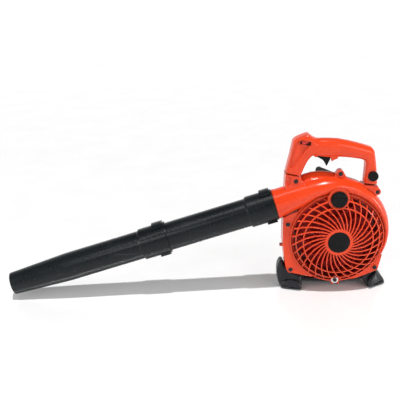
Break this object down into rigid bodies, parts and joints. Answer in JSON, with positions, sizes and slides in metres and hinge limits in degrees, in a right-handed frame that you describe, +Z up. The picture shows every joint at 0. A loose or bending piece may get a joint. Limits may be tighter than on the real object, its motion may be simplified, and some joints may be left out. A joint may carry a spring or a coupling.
{
  "type": "handheld petrol leaf blower",
  "caption": "Hand-held petrol leaf blower: scroll fan housing with a domed swirl grille, a long two-piece pipe, a loop handle, a stand and an engine behind.",
  "frame": {"origin": "on the ground, at the middle of the flat pad under the base, straight below the crankshaft's axis line", "axes": "+X to the machine's rear (the pipe blows towards -X), +Y to the engine side, +Z up. The crankshaft runs along Y."},
  "size_m": [0.8677, 0.1724, 0.3719],
  "materials": {
    "orange_plastic": "glossy moulded plastic, vivid red-orange",
    "black_plastic": "satin black plastic with a fine mould grain",
    "pipe_plastic": "satin blue-black plastic with long soft highlights",
    "base_plastic": "dull dark grey plastic, scuffed on the feet",
    "white_plastic": "plain white plastic",
    "red_plastic": "glossy red plastic",
    "mount_rubber": "soft black rubber",
    "black_screws": "black oxide steel",
    "steel": "turned steel",
    "cast_alloy": "as-cast aluminium",
    "steel_sheet": "heat-stained grey steel sheet",
    "ceramic": "white glazed ceramic over a steel body",
    "lead_rubber": "black silicone lead",
    "filter_foam": "open foam",
    "tank_plastic": "milky translucent plastic",
    "bulb_rubber": "clear amber rubber",
    "pulley_plastic": "natural nylon"
  },
  "bodies": {
    "housing": {"volute_front": "orange_plastic", "volute_back": "orange_plastic", "intake_ring": "orange_plastic", "back_plate": "orange_plastic", "housing_screws": "black_screws", "grille_hinge_pin": "steel", "base_stand": "base_plastic", "base_screws": "steel", "handle_front_half": "orange_plastic", "handle_back_half": "orange_plastic", "handle_screws": "black_screws", "front_mount": "mount_rubber", "rear_mount": "mount_rubber", "rear_mount_cap": "black_plastic", "trigger_pin": "steel", "front_bearing": "steel", "rear_bearing": "steel", "ignition_coil": "black_plastic", "ignition_lead": "lead_rubber", "spark_plug": "ceramic", "spark_plug_cap": "mount_rubber", "crankcase": "cast_alloy", "cylinder_block": "cast_alloy", "exhaust_gasket": "steel_sheet", "muffler": "steel_sheet", "muffler_guard": "black_plastic", "carburettor_spacer": "black_plastic", "carburettor": "cast_alloy", "air_cleaner_base": "black_plastic", "air_filter": "filter_foam", "air_cleaner_cover": "black_plastic", "fuel_tank": "tank_plastic", "cylinder_shroud": "orange_plastic", "starter_housing": "black_plastic", "starter_screws": "black_screws", "engine_screws": "steel"},
    "grille_cover": {"intake_grille": "orange_plastic", "grille_badge": "black_plastic", "grille_hinge_leaf": "black_plastic", "grille_washer": "white_plastic", "grille_screw": "black_screws"},
    "latch_knob": {"grille_knob": "black_plastic"},
    "crank": {"crankshaft": "steel", "impeller": "black_plastic", "impeller_nut": "steel", "flywheel": "cast_alloy", "starter_cup": "steel"},
    "tube": {"blower_tube": "pipe_plastic"},
    "nozzle_body": {"nozzle": "pipe_plastic"},
    "trigger": {"throttle_trigger": "black_plastic"},
    "switch": {"stop_switch": "red_plastic"},
    "choke": {"choke_lever": "black_plastic"},
    "primer": {"primer_bulb": "bulb_rubber"},
    "tank_cap": {"fuel_cap": "black_plastic"},
    "filter_knob": {"air_cleaner_knob": "black_plastic"},
    "rope_pulley": {"starter_pulley": "pulley_plastic"},
    "pull_grip": {"starter_grip": "black_plastic"}
  },
  "joints": [
    {"name": "crank_spin", "type": "hinge", "parent": "housing", "child": "crank", "pos_m": [0, -0.07, 0.13], "axis": [0, -1, 0], "continuous": true},
    {"name": "grille_hinge", "type": "hinge", "parent": "housing", "child": "grille_cover", "pos_m": [0, -0.103, 0.0186], "axis": [1, 0, 0], "range_deg": [0, 70]},
    {"name": "knob_turn", "type": "hinge", "parent": "grille_cover", "child": "latch_knob", "pos_m": [-0.0016, -0.126, 0.2286], "axis": [0, -1, 0], "range_deg": [0, 90]},
    {"name": "tube_twist", "type": "hinge", "parent": "housing", "child": "tube", "pos_m": [-0.14726, -0.09, 0.20603], "axis": [0.9598, 0, 0.2807], "range_deg": [0, 20]},
    {"name": "nozzle_twist", "type": "hinge", "parent": "tube", "child": "nozzle_body", "pos_m": [-0.39681, -0.09, 0.13305], "axis": [0.9598, 0, 0.2807], "range_deg": [0, 20]},
    {"name": "throttle_pull", "type": "hinge", "parent": "housing", "child": "trigger", "pos_m": [-0.0515, -0.09, 0.324], "axis": [0, -1, 0], "range_deg": [0, 15], "stiffness_Nm_per_rad": 0.2},
    {"name": "switch_slide", "type": "slide", "parent": "housing", "child": "switch", "axis": [0.9816, 0, -0.1908], "range_m": [0, 0.008]},
    {"name": "choke_turn", "type": "hinge", "parent": "housing", "child": "choke", "pos_m": [-0.063, 0.0024, 0.206], "axis": [1, 0, 0], "range_deg": [0, 60]},
    {"name": "primer_press", "type": "slide", "parent": "housing", "child": "primer", "axis": [0, -1, 0], "range_m": [0, 0.003], "stiffness_N_per_m": 400},
    {"name": "fuel_cap_turn", "type": "hinge", "parent": "housing", "child": "tank_cap", "pos_m": [-0.038, 0.028, 0.052], "axis": [0, 1, 0], "range_deg": [0, 180]},
    {"name": "filter_knob_turn", "type": "hinge", "parent": "housing", "child": "filter_knob", "pos_m": [-0.088, -0.02, 0.18], "axis": [-1, 0, 0], "range_deg": [0, 180]},
    {"name": "pulley_turn", "type": "hinge", "parent": "housing", "child": "rope_pulley", "pos_m": [0, 0.019, 0.13], "axis": [0, -1, 0], "range_deg": [0, 1719]},
    {"name": "starter_pull", "type": "slide", "parent": "housing", "child": "pull_grip", "axis": [0, 0, 1], "range_m": [0, 0.6002]}
  ],
  "couplings": [
    {"joint": "starter_pull", "follows": "pulley_turn", "m_per_rad": 0.02}
  ]
}
